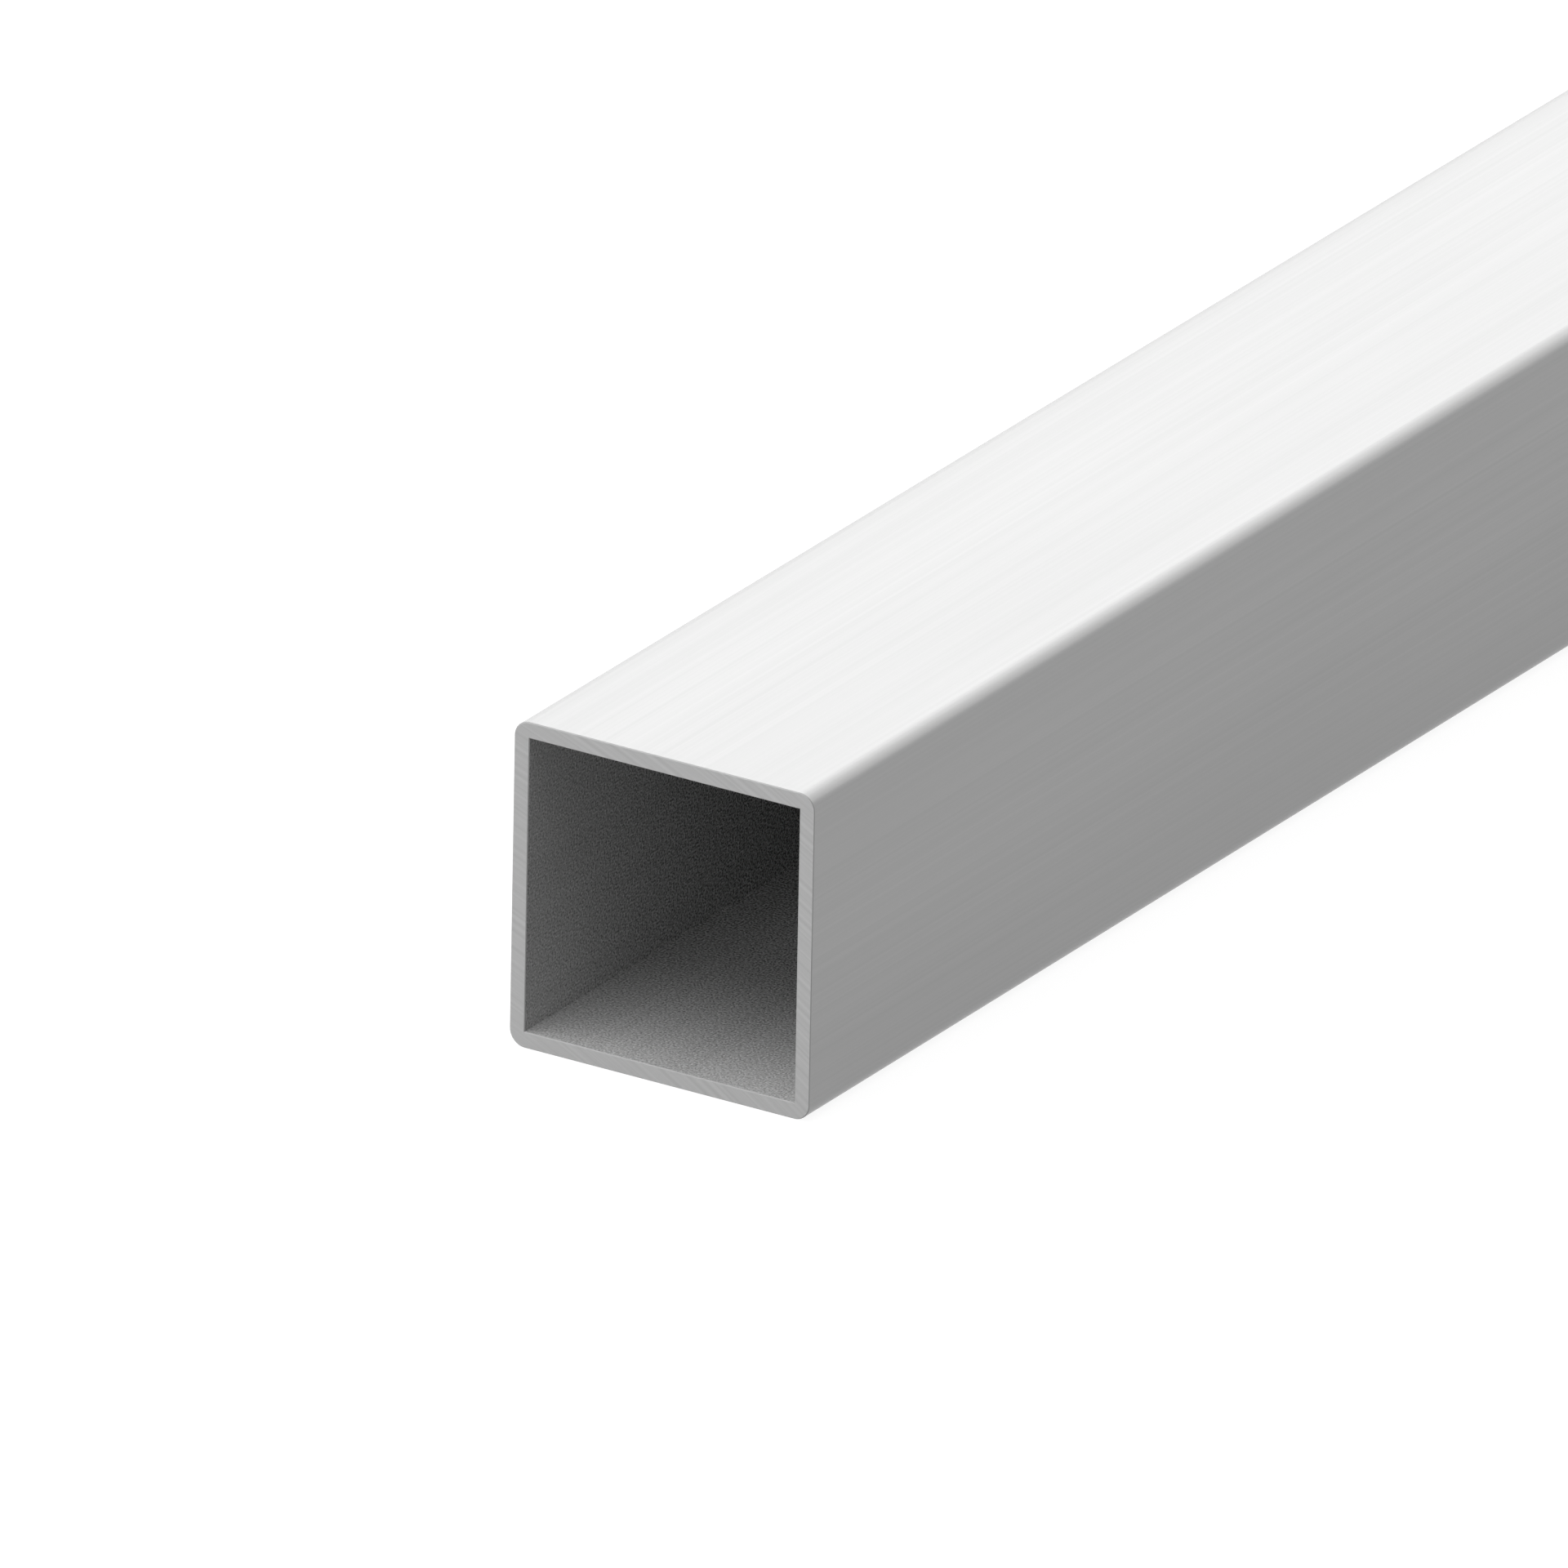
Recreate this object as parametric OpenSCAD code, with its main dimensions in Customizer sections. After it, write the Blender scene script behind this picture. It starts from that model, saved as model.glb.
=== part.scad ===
/* [Section] */
// Width and height of the square section, across the flats
outer_w = 40; // [20:1:100]
// Thickness of the four walls
wall = 2; // [1:0.5:5]
// Radius of the four long outside corners; the corners of the bore are square
corner_r = 2; // [0.5:0.5:3]

/* [Length] */
// Length of the piece from one saw cut to the other
tube_l = 1000; // [100:10:6000]

/* [Sawn ends] */
// Width of the 45 degree break that deburring leaves on every cut edge
edge_break = 0.1; // [0.05:0.05:0.3]

/* [Hidden] */
$fn = 96;

// Clear width of the bore between opposite walls
bore_w = outer_w - 2 * wall;
// Distance from the middle of the section to the axis of each corner arc
arc_at = outer_w / 2 - corner_r;
// Distance from the middle of the length to a saw cut
end_at = tube_l / 2;
// How far the bore's cutter runs past each saw cut
overrun = 1;

// Lengthwise outline from an axis out to a face at w, with its cut edges broken
function face_outline(w) = [
    [0, -end_at],
    [w - edge_break, -end_at],
    [w, edge_break - end_at],
    [w, end_at - edge_break],
    [w - edge_break, end_at],
    [0, end_at]
];

// Lengthwise outline from the middle of the bore out to a wall at w, with a flare that breaks each mouth's edge
function mouth_outline(w) = [
    [0, -end_at - overrun],
    [w + edge_break + overrun, -end_at - overrun],
    [w, edge_break - end_at],
    [w, end_at - edge_break],
    [w + edge_break + overrun, end_at + overrun],
    [0, end_at + overrun]
];

// Extrudes a lengthwise outline and its mirror image into a slab of the given thickness
module slab(points, thickness) {
    linear_extrude(thickness, center = true) {
        polygon(points);
        mirror([1, 0]) polygon(points);
    }
}

// Repeats a piece at each of the given turns about the length
module turned(angles) {
    for (angle = angles)
        rotate([0, angle, 0]) children();
}

// A quarter of a round bar, which fills the corner between two crossed slabs
module corner_rod() {
    translate([arc_at, 0, arc_at])
        rotate([90, 0, 0])
            rotate_extrude(angle = 90) polygon(face_outline(corner_r));
}

// The outside of the tube: two crossed slabs, each as thick as its flats, and the four corners
module rounded_bar() {
    turned([0, 90]) slab(face_outline(outer_w / 2), 2 * arc_at);
    turned([0, 90, 180, 270]) corner_rod();
}

// The inside of the tube: two crossed cutters meet in a square bore with mitred mouths
module bore() {
    intersection() {
        slab(mouth_outline(bore_w / 2), outer_w);
        turned([90]) slab(mouth_outline(bore_w / 2), outer_w);
    }
}

module tube() {
    color("silver") translate([0, 0, outer_w / 2]) difference() {
        rounded_bar();
        bore();
    }
}

tube();
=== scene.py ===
"""Looks of a square aluminium tube: an extruded length, clear anodised, and sawn square at both ends."""

import math

import bpy
from mathutils import Matrix, Vector


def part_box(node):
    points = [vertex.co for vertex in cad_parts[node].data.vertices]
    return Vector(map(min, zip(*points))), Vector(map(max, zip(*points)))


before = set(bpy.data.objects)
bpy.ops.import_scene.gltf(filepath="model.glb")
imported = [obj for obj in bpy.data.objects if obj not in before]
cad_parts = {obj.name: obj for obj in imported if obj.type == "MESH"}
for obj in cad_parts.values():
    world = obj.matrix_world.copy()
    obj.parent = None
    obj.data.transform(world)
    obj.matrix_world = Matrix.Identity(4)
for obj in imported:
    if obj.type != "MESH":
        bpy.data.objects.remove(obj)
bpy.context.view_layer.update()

MM = 0.001

# The tube, from the frame, and the two sizes of it that a box doesn't give
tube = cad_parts["tube"]
low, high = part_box("tube")
HALF_WIDTH = (high.x - low.x) / 2
HALF_LENGTH = (high.y - low.y) / 2
AXIS_HEIGHT = (high.z + low.z) / 2
WALL = 2 * MM
EDGE_BREAK = 0.1 * MM
HALF_BORE = HALF_WIDTH - WALL

# The photograph's view of the near end. Its lens is so long that parallel edges stay almost parallel
PHOTO_PX = 1920
SENSOR_MM = 36
LENS_MM = 1572.75
CAMERA_DISTANCE = 7.733
CLIP_START = 0.1
CLIP_END = 100
AZIMUTH = math.radians(31.651)
ELEVATION = math.radians(23.048)
ROLL = math.radians(1.055)
# Where the photograph shows the middle of the mouth
MOUTH_X_PX = 810.2
MOUTH_Y_PX = 1127.3

# The surroundings look white. The light that they give is dimmer, so that a colour shows as written
WORLD_LIGHT = 0.3
FLOOR_SIZE = 60
FLOOR_COLOUR = "#767676"
FLOOR_GLOW = 0.9
# The floor lies just under the tube, so that no two faces share a plane
FLOOR_DROP = 0.02 * MM

# The soft lamps: name, azimuth, elevation and spread in degrees, and strength
LAMPS = (
    ("left", -90, 25, 60, 0.8),
    ("back_left", -60, 25, 60, 0.55),
    ("high_back_left", -30, 45, 60, 0.38),
    ("back", 0, 25, 60, 0.78),
    ("high_left", -120, 60, 60, 1.0),
    ("overhead", 180, 80, 60, 0.92),
    ("low_front", 180, 25, 30, 0.29),
)

# Random patterns in the metal and its film: the size of a patch across and along the tube, and its detail.
# The real grain of the bore is finer, and it is drawn as coarse as it needs to be to show
PATCHES = {
    "hairline": (0.3 * MM, 200 * MM, 1.0),
    "die_line": (1.2 * MM, 400 * MM, 1.0),
    "band": (6 * MM, 900 * MM, 0.0),
    "cloud": (30 * MM, 60 * MM, 3.0),
    "grain": (0.25 * MM, 0.3 * MM, 1.0),
}
# What each kind of line adds to the lines along the tube
LINE_SHARES = {"hairline": 0.4, "die_line": 0.35, "band": 0.25}
CLOUD_SHARE_OUTSIDE = 0.2
LINE_SHARE_IN_BORE = 0.1

# The grain of the bore grows stronger over this depth, from its strength at the mouth to that inside.
# A strength of 1 leaves its contrast as it is
GRAIN_DEPTH = 60 * MM
GRAIN_AT_MOUTH = 0.6
GRAIN_INSIDE = 1.6

# The blade that cut the ends: its radius, the direction from its centre to the tube, and the pitch and
# detail of its marks
BLADE_RADIUS = 175 * MM
BLADE_TURN = math.radians(62)
TOOTH_PITCH = 0.5 * MM
SAW_DETAIL = 2.0
# How deep below a saw cut the metal still counts as its flat face
SAWN_DEPTH = 0.01 * MM

# How deep the patterns go
LINE_RELIEF = 0.005 * MM
GRAIN_RELIEF = 0.05 * MM
SAW_RELIEF = 0.01 * MM

# The darkest and lightest grey of each pattern. It runs from one to the other between these two values
PATTERN_RANGE = (0.3, 0.7)
OUTSIDE_GREYS = ("#ACACAC", "#B7B7B7")
BORE_GREYS = ("#6E6E6E", "#EDEDED")
SAWN_GREYS = ("#BFBFBF", "#CACACA")
# The broken edges are painted this darker grey, a painted shade that keeps them from catching the lamps as
# bright lines
PAINTED_SHADE_EDGE_GREY = "#A0A0A0"

# The finish of the outside, the bore and the ends. The clear film shines on the outside alone
METALLIC = (0.3, 0.1, 0.4)
ROUGHNESS = (0.5, 0.6, 0.5)
FILM = (0.5, 0.0, 0.0)
FILM_ROUGHNESS = 0.15
FILM_IOR = 1.6


def linear(hex_colour):
    """An sRGB hex colour as the linear RGBA that shaders take, by the standard's own formula."""
    channels = [int(hex_colour[i : i + 2], 16) / 255 for i in (1, 3, 5)]
    return [c / 12.92 if c <= 0.04045 else ((c + 0.055) / 1.055) ** 2.4 for c in channels] + [1.0]


def add(tree, kind, inputs=None, **settings):
    """Adds a node with its settings. An input takes a value or another node's output.

    An input goes by its name, or by its number where the node has several of one name.
    """
    made = tree.nodes.new(kind)
    for name, value in settings.items():
        setattr(made, name, value)
    for name, value in (inputs or {}).items():
        if isinstance(value, bpy.types.NodeSocket):
            tree.links.new(value, made.inputs[name])
        else:
            made.inputs[name].default_value = value
    return made


def new_material(name):
    """A material and its empty node tree."""
    material = bpy.data.materials.new(name)
    material.use_nodes = True
    material.node_tree.nodes.clear()
    return material, material.node_tree


def towards(azimuth, elevation):
    """The direction at an azimuth, counted from the far end towards +X, and at an elevation."""
    return Vector(
        (
            math.sin(azimuth) * math.cos(elevation),
            math.cos(azimuth) * math.cos(elevation),
            math.sin(elevation),
        )
    )


def make_camera():
    """Looks at the near mouth from its right and above, as the photograph does."""
    data = bpy.data.cameras.new("camera")
    data.sensor_width = SENSOR_MM
    data.lens = LENS_MM
    data.clip_start = CLIP_START
    data.clip_end = CLIP_END
    back = towards(math.pi - AZIMUTH, ELEVATION)
    level = Vector((math.cos(AZIMUTH), math.sin(AZIMUTH), 0))
    right = Matrix.Rotation(ROLL, 3, back) @ level
    up = back.cross(right)
    metres_per_px = CAMERA_DISTANCE * SENSOR_MM / LENS_MM / PHOTO_PX
    middle_px = PHOTO_PX / 2
    mouth = Vector((0, low.y, AXIS_HEIGHT))
    place = (
        mouth
        + back * CAMERA_DISTANCE
        + right * (middle_px - MOUTH_X_PX) * metres_per_px
        + up * (MOUTH_Y_PX - middle_px) * metres_per_px
    )
    camera = bpy.data.objects.new("camera", data)
    camera.matrix_world = Matrix.Translation(place) @ Matrix((right, up, back)).transposed().to_4x4()
    bpy.context.scene.collection.objects.link(camera)
    bpy.context.scene.camera = camera


def seen_directly(tree):
    """1 for the rays of the camera, a gloss or a glass, and 0 for those that light a surface."""
    path = add(tree, "ShaderNodeLightPath")
    either = add(
        tree,
        "ShaderNodeMath",
        {0: path.outputs["Is Camera Ray"], 1: path.outputs["Is Glossy Ray"]},
        operation="MAXIMUM",
    )
    return add(
        tree,
        "ShaderNodeMath",
        {0: either.outputs["Value"], 1: path.outputs["Is Transmission Ray"]},
        operation="MAXIMUM",
    ).outputs["Value"]


def make_world():
    """A white studio for what is seen, and a dimmer even light for what is lit."""
    world = bpy.data.worlds.new("studio")
    bpy.context.scene.world = world
    world.use_nodes = True
    tree = world.node_tree
    tree.nodes.clear()
    strength = add(
        tree,
        "ShaderNodeMapRange",
        {"Value": seen_directly(tree), "To Min": WORLD_LIGHT, "To Max": 1.0},
    )
    light = add(tree, "ShaderNodeBackground", {"Strength": strength.outputs["Result"]})
    add(tree, "ShaderNodeOutputWorld", {"Surface": light.outputs["Background"]})


def make_floor():
    """A pale floor that shows white and still takes a soft shadow."""
    bpy.ops.object.select_all(action="DESELECT")
    bpy.ops.mesh.primitive_plane_add(size=FLOOR_SIZE, location=(0, 0, low.z - FLOOR_DROP))
    floor = bpy.context.object
    floor.name = "floor"
    material, tree = new_material("studio_floor")
    paint = add(tree, "ShaderNodeBsdfDiffuse", {"Color": linear(FLOOR_COLOUR)})
    strength = add(
        tree,
        "ShaderNodeMath",
        {0: seen_directly(tree), 1: FLOOR_GLOW},
        operation="MULTIPLY",
    )
    glow = add(tree, "ShaderNodeEmission", {"Strength": strength.outputs["Value"]})
    both = add(tree, "ShaderNodeAddShader", {0: paint.outputs["BSDF"], 1: glow.outputs["Emission"]})
    add(tree, "ShaderNodeOutputMaterial", {"Surface": both.outputs["Shader"]})
    floor.data.materials.append(material)


def make_lamp(name, azimuth, elevation, spread, strength):
    """A soft sun in one direction, with its angles in degrees."""
    data = bpy.data.lights.new(name, "SUN")
    data.energy = strength
    data.angle = math.radians(spread)
    lamp = bpy.data.objects.new(name, data)
    direction = towards(math.radians(azimuth), math.radians(elevation))
    lamp.rotation_euler = direction.to_track_quat("Z", "Y").to_euler()
    bpy.context.scene.collection.objects.link(lamp)


def add_up(tree, parts):
    """The sum of several outputs, each times its share."""
    total = 0.0
    for output, share in parts:
        total = add(
            tree,
            "ShaderNodeMath",
            {0: output, 1: share, 2: total},
            operation="MULTIPLY_ADD",
        ).outputs["Value"]
    return total


def make_patches(tree, centred):
    """The random patterns by name, each drawn out to the size of its patches."""
    patches = {}
    for name, (width, length, detail) in PATCHES.items():
        drawn_out = add(
            tree,
            "ShaderNodeMapping",
            {"Vector": centred, "Scale": (1 / width, 1 / length, 1 / width)},
        )
        patches[name] = add(
            tree,
            "ShaderNodeTexNoise",
            {"Vector": drawn_out.outputs["Vector"], "Scale": 1.0, "Detail": detail},
        ).outputs["Fac"]
    return patches


def make_zones(tree, distance):
    """Outputs that are 1 in the bore, on an end with its broken edges, and on its flat sawn face."""
    from_axis = add(
        tree,
        "ShaderNodeMath",
        {0: distance["X"], 1: distance["Z"]},
        operation="MAXIMUM",
    )
    # The bore's limit lies a little outside its walls, so that rounding can't put a wall beyond it
    tests = {
        "bore": (from_axis.outputs["Value"], "LESS_THAN", HALF_BORE + EDGE_BREAK / 2),
        "end": (distance["Y"], "GREATER_THAN", HALF_LENGTH - EDGE_BREAK),
        "sawn": (distance["Y"], "GREATER_THAN", HALF_LENGTH - SAWN_DEPTH),
    }
    return {
        name: add(tree, "ShaderNodeMath", {0: output, 1: limit}, operation=test).outputs["Value"]
        for name, (output, test, limit) in tests.items()
    }


def by_zone(tree, zones, outside, bore, end, kind="FLOAT"):
    """One value or output for the outside, the bore and the ends, brought together."""
    walls = add(tree, "ShaderNodeMix", {"Factor": zones["bore"], "A": outside, "B": bore}, data_type=kind)
    whole = add(
        tree,
        "ShaderNodeMix",
        {"Factor": zones["end"], "A": walls.outputs["Result"], "B": end},
        data_type=kind,
    )
    return whole.outputs["Result"]


def stronger_inside(tree, from_middle, grain):
    """The grain of the bore, faint at the mouth and strong inside, where the film is thin and patchy."""
    strength = add(
        tree,
        "ShaderNodeMapRange",
        {
            "Value": from_middle,
            "From Min": HALF_LENGTH - GRAIN_DEPTH,
            "From Max": HALF_LENGTH,
            "To Min": GRAIN_INSIDE,
            "To Max": GRAIN_AT_MOUTH,
        },
    )
    middle_value = sum(PATTERN_RANGE) / 2
    return add(
        tree,
        "ShaderNodeMix",
        {"Factor": strength.outputs["Result"], "A": middle_value, "B": grain},
        clamp_factor=False,
    ).outputs["Result"]


def saw_arcs(tree, centred):
    """Arcs about the centre of the blade, where its teeth went through the metal."""
    # Where the tube's axis is, seen from the centre of the blade
    axis_x = BLADE_RADIUS * math.cos(BLADE_TURN)
    axis_z = BLADE_RADIUS * math.sin(BLADE_TURN)
    pitches = add(
        tree,
        "ShaderNodeMapping",
        {
            "Vector": centred,
            "Location": (axis_x / TOOTH_PITCH, 0, axis_z / TOOTH_PITCH),
            "Scale": (1 / TOOTH_PITCH, 0, 1 / TOOTH_PITCH),
        },
    )
    radius = add(tree, "ShaderNodeVectorMath", {"Vector": pitches.outputs["Vector"]}, operation="LENGTH")
    return add(
        tree,
        "ShaderNodeTexNoise",
        {"W": radius.outputs["Value"], "Scale": 1.0, "Detail": SAW_DETAIL},
        noise_dimensions="1D",
    ).outputs["Fac"]


def shades(tree, pattern, greys):
    """A pattern as the shades between two greys."""
    ramp = add(tree, "ShaderNodeValToRGB", {"Fac": pattern})
    for stop, value, grey in zip(ramp.color_ramp.elements, PATTERN_RANGE, greys):
        stop.position = value
        stop.color = linear(grey)
    return ramp.outputs["Color"]


def clear_anodised_aluminium():
    """Extruded aluminium, etched to a satin and then clear anodised.

    The outside is pale and even under its clear film, which shines at a low angle, with faint lines that
    the die drew along the metal. The film is thin and grainy in the bore. The ends were sawn later, and are
    bare metal with the arcs that the blade left. Their broken edges are painted a darker grey, a painted
    shade that keeps them from lighting up as bright lines.
    """
    material, tree = new_material("clear_anodised_aluminium")
    centred = add(
        tree,
        "ShaderNodeMapping",
        {
            "Vector": add(tree, "ShaderNodeTexCoord").outputs["Object"],
            "Location": (0, 0, -AXIS_HEIGHT),
        },
    ).outputs["Vector"]
    from_middle = add(tree, "ShaderNodeVectorMath", {"Vector": centred}, operation="ABSOLUTE")
    distance = add(tree, "ShaderNodeSeparateXYZ", {"Vector": from_middle.outputs["Vector"]}).outputs
    zones = make_zones(tree, distance)

    patches = make_patches(tree, centred)
    lines = add_up(tree, [(patches[name], share) for name, share in LINE_SHARES.items()])
    cloudy = add_up(tree, [(lines, 1 - CLOUD_SHARE_OUTSIDE), (patches["cloud"], CLOUD_SHARE_OUTSIDE)])
    grain = stronger_inside(tree, distance["Y"], patches["grain"])
    grainy = add_up(tree, [(grain, 1 - LINE_SHARE_IN_BORE), (lines, LINE_SHARE_IN_BORE)])
    saw_marks = saw_arcs(tree, centred)

    outside = shades(tree, cloudy, OUTSIDE_GREYS)
    bore = shades(tree, grainy, BORE_GREYS)
    sawn = shades(tree, saw_marks, SAWN_GREYS)
    # The flat sawn face takes the saw marks. The broken edges around it take the darker grey as painted
    # shade
    end = add(
        tree,
        "ShaderNodeMix",
        {"Factor": zones["sawn"], "A": linear(PAINTED_SHADE_EDGE_GREY), "B": sawn},
        data_type="RGBA",
    ).outputs["Result"]

    heights = [
        add(tree, "ShaderNodeMath", {0: pattern, 1: relief}, operation="MULTIPLY").outputs["Value"]
        for pattern, relief in (
            (lines, LINE_RELIEF),
            (patches["grain"], GRAIN_RELIEF),
            (saw_marks, SAW_RELIEF),
        )
    ]
    # The heights are in metres, and a distance of 1 takes them as they are
    bump = add(tree, "ShaderNodeBump", {"Height": by_zone(tree, zones, *heights), "Distance": 1.0})

    shader = add(
        tree,
        "ShaderNodeBsdfPrincipled",
        {
            "Base Color": by_zone(tree, zones, outside, bore, end, kind="RGBA"),
            "Metallic": by_zone(tree, zones, *METALLIC),
            "Roughness": by_zone(tree, zones, *ROUGHNESS),
            "Normal": bump.outputs["Normal"],
            "Coat Weight": by_zone(tree, zones, *FILM),
            "Coat Roughness": FILM_ROUGHNESS,
            "Coat IOR": FILM_IOR,
        },
    )
    add(tree, "ShaderNodeOutputMaterial", {"Surface": shader.outputs["BSDF"]})
    return material


bpy.context.scene.view_settings.view_transform = "Standard"
make_camera()
make_world()
make_floor()
for lamp in LAMPS:
    make_lamp(*lamp)
tube.data.materials.clear()
tube.data.materials.append(clear_anodised_aluminium())
